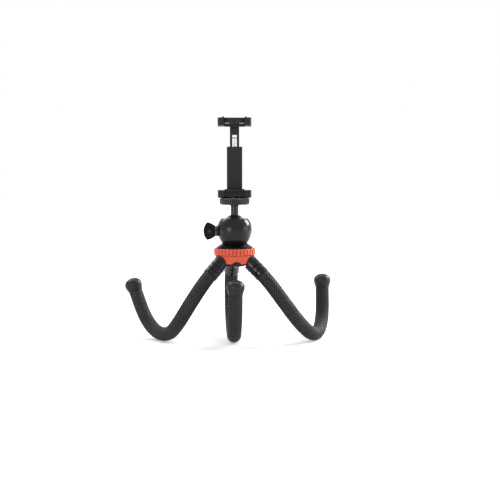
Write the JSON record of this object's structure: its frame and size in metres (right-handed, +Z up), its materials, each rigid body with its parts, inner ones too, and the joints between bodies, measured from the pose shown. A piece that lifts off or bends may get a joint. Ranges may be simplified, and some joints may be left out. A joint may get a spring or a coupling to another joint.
{
  "type": "flexible leg tripod",
  "caption": "Flexible leg tripod with bendable rubber-sleeved legs curled round a rail, ball head with side lock knob, and a sprung phone clamp.",
  "frame": {"origin": "on the floor under the hub's axis, with the legs curled as round a rail", "axes": "+Z up the hub's axis, +Y away from the viewer, +X to the right"},
  "size_m": [0.2513, 0.1082, 0.2619],
  "materials": {
    "red_plastic": "moulded orange-red plastic, satin",
    "black_plastic": "moulded black plastic, fine matt texture",
    "satin_black": "satin black moulded housing",
    "black_metal": "black anodised aluminium",
    "steel": "plated steel",
    "brass": "turned brass",
    "pad_rubber": "ribbed black rubber pad",
    "ferrule_plastic": "glossy black moulded collar",
    "foot_rubber": "smooth black rubber foot",
    "sleeve_rubber": "black rubber with a fine diamond grip",
    "wire_aluminium": "bare annealed aluminium wire"
  },
  "bodies": {
    "hub": {"hub_shell": "red_plastic", "leg_carrier": "black_plastic", "bottom_plate": "black_plastic", "bottom_plate_screws": "steel", "pan_washer": "steel", "rear_leg_ferrule": "ferrule_plastic", "rear_leg_sleeve_0": "sleeve_rubber", "rear_leg_core_wire": "wire_aluminium", "left_leg_ferrule": "ferrule_plastic", "left_leg_sleeve_0": "sleeve_rubber", "left_leg_core_wire": "wire_aluminium", "right_leg_ferrule": "ferrule_plastic", "right_leg_sleeve_0": "sleeve_rubber", "right_leg_core_wire": "wire_aluminium"},
    "rear_link_1": {"rear_leg_sleeve_1": "sleeve_rubber"},
    "rear_link_2": {"rear_leg_sleeve_2": "sleeve_rubber"},
    "rear_link_3": {"rear_leg_sleeve_3": "sleeve_rubber"},
    "rear_link_4": {"rear_leg_sleeve_4": "sleeve_rubber"},
    "rear_link_5": {"rear_leg_sleeve_5": "sleeve_rubber"},
    "rear_link_6": {"rear_leg_sleeve_6": "sleeve_rubber", "rear_leg_foot_cap": "foot_rubber"},
    "left_link_1": {"left_leg_sleeve_1": "sleeve_rubber"},
    "left_link_2": {"left_leg_sleeve_2": "sleeve_rubber"},
    "left_link_3": {"left_leg_sleeve_3": "sleeve_rubber"},
    "left_link_4": {"left_leg_sleeve_4": "sleeve_rubber"},
    "left_link_5": {"left_leg_sleeve_5": "sleeve_rubber"},
    "left_link_6": {"left_leg_sleeve_6": "sleeve_rubber", "left_leg_foot_cap": "foot_rubber"},
    "right_link_1": {"right_leg_sleeve_1": "sleeve_rubber"},
    "right_link_2": {"right_leg_sleeve_2": "sleeve_rubber"},
    "right_link_3": {"right_leg_sleeve_3": "sleeve_rubber"},
    "right_link_4": {"right_leg_sleeve_4": "sleeve_rubber"},
    "right_link_5": {"right_leg_sleeve_5": "sleeve_rubber"},
    "right_link_6": {"right_leg_sleeve_6": "sleeve_rubber", "right_leg_foot_cap": "foot_rubber"},
    "pan_lock_ring": {"pan_lock_ring": "red_plastic"},
    "ball_head": {"swivel_base": "black_plastic", "ball_housing": "satin_black", "pan_bolt": "steel", "brake_pad": "brass"},
    "lock_knob": {"lock_knob": "black_plastic", "lock_screw": "steel"},
    "ball": {"ball_stem": "black_metal", "camera_stud": "steel"},
    "lock_disc": {"lock_disc": "black_plastic"},
    "clamp": {"clamp_base": "black_plastic", "thread_insert": "brass", "lower_jaw_pad": "pad_rubber", "back_cover": "black_plastic", "back_cover_screws": "steel", "spring_anchor_pin": "steel", "jaw_spring": "steel"},
    "jaw": {"upper_jaw": "black_plastic", "upper_jaw_pad": "pad_rubber", "slide_bar": "steel", "spring_slide_pin": "steel"}
  },
  "joints": [
    {"name": "rear_bend_1", "type": "hinge", "parent": "hub", "child": "rear_link_1", "pos_m": [-0.00444, 0.04226, 0.07333], "axis": [0.9904, 0.1344, 0.0335], "range_deg": [-1.5, 34.1], "deforming": ["rear_leg_core_wire"]},
    {"name": "rear_bend_2", "type": "hinge", "parent": "rear_link_1", "child": "rear_link_2", "pos_m": [-0.00444, 0.04952, 0.04422], "axis": [0.9987, 0.0487, 0.0121], "range_deg": [-1.5, 44.04], "deforming": ["rear_leg_core_wire"]},
    {"name": "rear_bend_3", "type": "hinge", "parent": "rear_link_2", "child": "rear_link_3", "pos_m": [-0.0034, 0.03453, 0.01825], "axis": [0.9986, 0.0522, 0.0101], "range_deg": [-1.5, 38.9], "deforming": ["rear_leg_core_wire"]},
    {"name": "rear_bend_4", "type": "hinge", "parent": "rear_link_3", "child": "rear_link_4", "pos_m": [-0.00193, 0.00844, 0.0082], "axis": [0.9986, 0.0523, 0.0097], "range_deg": [-1.5, 21.04], "deforming": ["rear_leg_core_wire"]},
    {"name": "rear_bend_5", "type": "hinge", "parent": "rear_link_4", "child": "rear_link_5", "pos_m": [-0.00057, -0.01753, 0.0082], "axis": [0.9986, 0.0523, 0.005], "range_deg": [-1.5, 42.97], "deforming": ["rear_leg_core_wire"]},
    {"name": "rear_bend_6", "type": "hinge", "parent": "rear_link_5", "child": "rear_link_6", "pos_m": [0.00041, -0.03799, 0.02728], "axis": [0.9993, 0.033, -0.0157], "range_deg": [-1.5, 43.99], "deforming": ["rear_leg_core_wire"]},
    {"name": "left_bend_1", "type": "hinge", "parent": "hub", "child": "left_link_1", "pos_m": [-0.03438, -0.02498, 0.07333], "axis": [-0.7938, 0.423, 0.4371], "range_deg": [-4, 17.72], "deforming": ["left_leg_core_wire"]},
    {"name": "left_bend_2", "type": "hinge", "parent": "left_link_1", "child": "left_link_2", "pos_m": [-0.05072, -0.03021, 0.04872], "axis": [-0.8385, 0.135, 0.528], "range_deg": [-4, 21.47], "deforming": ["left_leg_core_wire"]},
    {"name": "left_bend_3", "type": "hinge", "parent": "left_link_2", "child": "left_link_3", "pos_m": [-0.06572, -0.02436, 0.0234], "axis": [-0.8655, -0.1455, 0.4793], "range_deg": [-4, 35.83], "deforming": ["left_leg_core_wire"]},
    {"name": "left_bend_4", "type": "hinge", "parent": "left_link_3", "child": "left_link_4", "pos_m": [-0.07755, -0.00404, 0.0082], "axis": [-0.7409, -0.6217, -0.2543], "range_deg": [-4, 34.15], "deforming": ["left_leg_core_wire"]},
    {"name": "left_bend_5", "type": "hinge", "parent": "left_link_4", "child": "left_link_5", "pos_m": [-0.09426, 0.01587, 0.0082], "axis": [-0.766, -0.6428, -0.0015], "range_deg": [-4, 34.57], "deforming": ["left_leg_core_wire"]},
    {"name": "left_bend_6", "type": "hinge", "parent": "left_link_5", "child": "left_link_6", "pos_m": [-0.1091, 0.03352, 0.02409], "axis": [-0.8309, -0.5197, -0.1987], "range_deg": [-4, 34.31], "deforming": ["left_leg_core_wire"]},
    {"name": "right_bend_1", "type": "hinge", "parent": "hub", "child": "right_link_1", "pos_m": [0.03882, -0.01728, 0.07333], "axis": [-0.6427, -0.6854, -0.3424], "range_deg": [-4, 12.29], "deforming": ["right_leg_core_wire"]},
    {"name": "right_bend_2", "type": "hinge", "parent": "right_link_1", "child": "right_link_2", "pos_m": [0.05645, -0.02192, 0.0495], "axis": [-0.8063, -0.031, -0.5907], "range_deg": [-4, 12.93], "deforming": ["right_leg_core_wire"]},
    {"name": "right_bend_3", "type": "hinge", "parent": "right_link_2", "child": "right_link_3", "pos_m": [0.07409, -0.0198, 0.02532], "axis": [-0.7989, 0.2074, -0.5645], "range_deg": [-4, 29.72], "deforming": ["right_leg_core_wire"]},
    {"name": "right_bend_4", "type": "hinge", "parent": "right_link_3", "child": "right_link_4", "pos_m": [0.09015, -0.00454, 0.0082], "axis": [-0.8189, 0.3994, -0.4121], "range_deg": [-4, 42.16], "deforming": ["right_leg_core_wire"]},
    {"name": "right_bend_5", "type": "hinge", "parent": "right_link_4", "child": "right_link_5", "pos_m": [0.10154, 0.01883, 0.0082], "axis": [-0.8768, 0.4277, -0.2197], "range_deg": [-4, 40.13], "deforming": ["right_leg_core_wire"]},
    {"name": "right_bend_6", "type": "hinge", "parent": "right_link_5", "child": "right_link_6", "pos_m": [0.10737, 0.03981, 0.02581], "axis": [-0.9494, 0.3092, -0.0545], "range_deg": [-4, 41.47], "deforming": ["right_leg_core_wire"]},
    {"name": "pan_ring_turn", "type": "hinge", "parent": "hub", "child": "pan_lock_ring", "pos_m": [0, 0, 0.1024], "axis": [0, 0, 1], "range_deg": [-60, 0]},
    {"name": "head_pan", "type": "hinge", "parent": "hub", "child": "ball_head", "pos_m": [0, 0, 0.1104], "axis": [0, 0, 1], "continuous": true},
    {"name": "lock_knob_turn", "type": "hinge", "parent": "ball_head", "child": "lock_knob", "pos_m": [-0.022, 0, 0.1301], "axis": [-1, 0, 0], "range_deg": [-180, 0]},
    {"name": "ball_tilt", "type": "hinge", "parent": "ball_head", "child": "ball", "pos_m": [0, 0, 0.1373], "axis": [-1, 0, 0], "range_deg": [-28, 90]},
    {"name": "lock_disc_turn", "type": "hinge", "parent": "ball", "child": "lock_disc", "pos_m": [0, 0, 0.1607], "axis": [0, 0, 1], "continuous": true},
    {"name": "clamp_turn", "type": "hinge", "parent": "ball", "child": "clamp", "pos_m": [0, 0, 0.1686], "axis": [0, 0, 1], "continuous": true},
    {"name": "jaw_slide", "type": "slide", "parent": "clamp", "child": "jaw", "axis": [0, 0, 1], "range_m": [-0.0176, 0.0124], "deforming": ["jaw_spring"]}
  ]
}
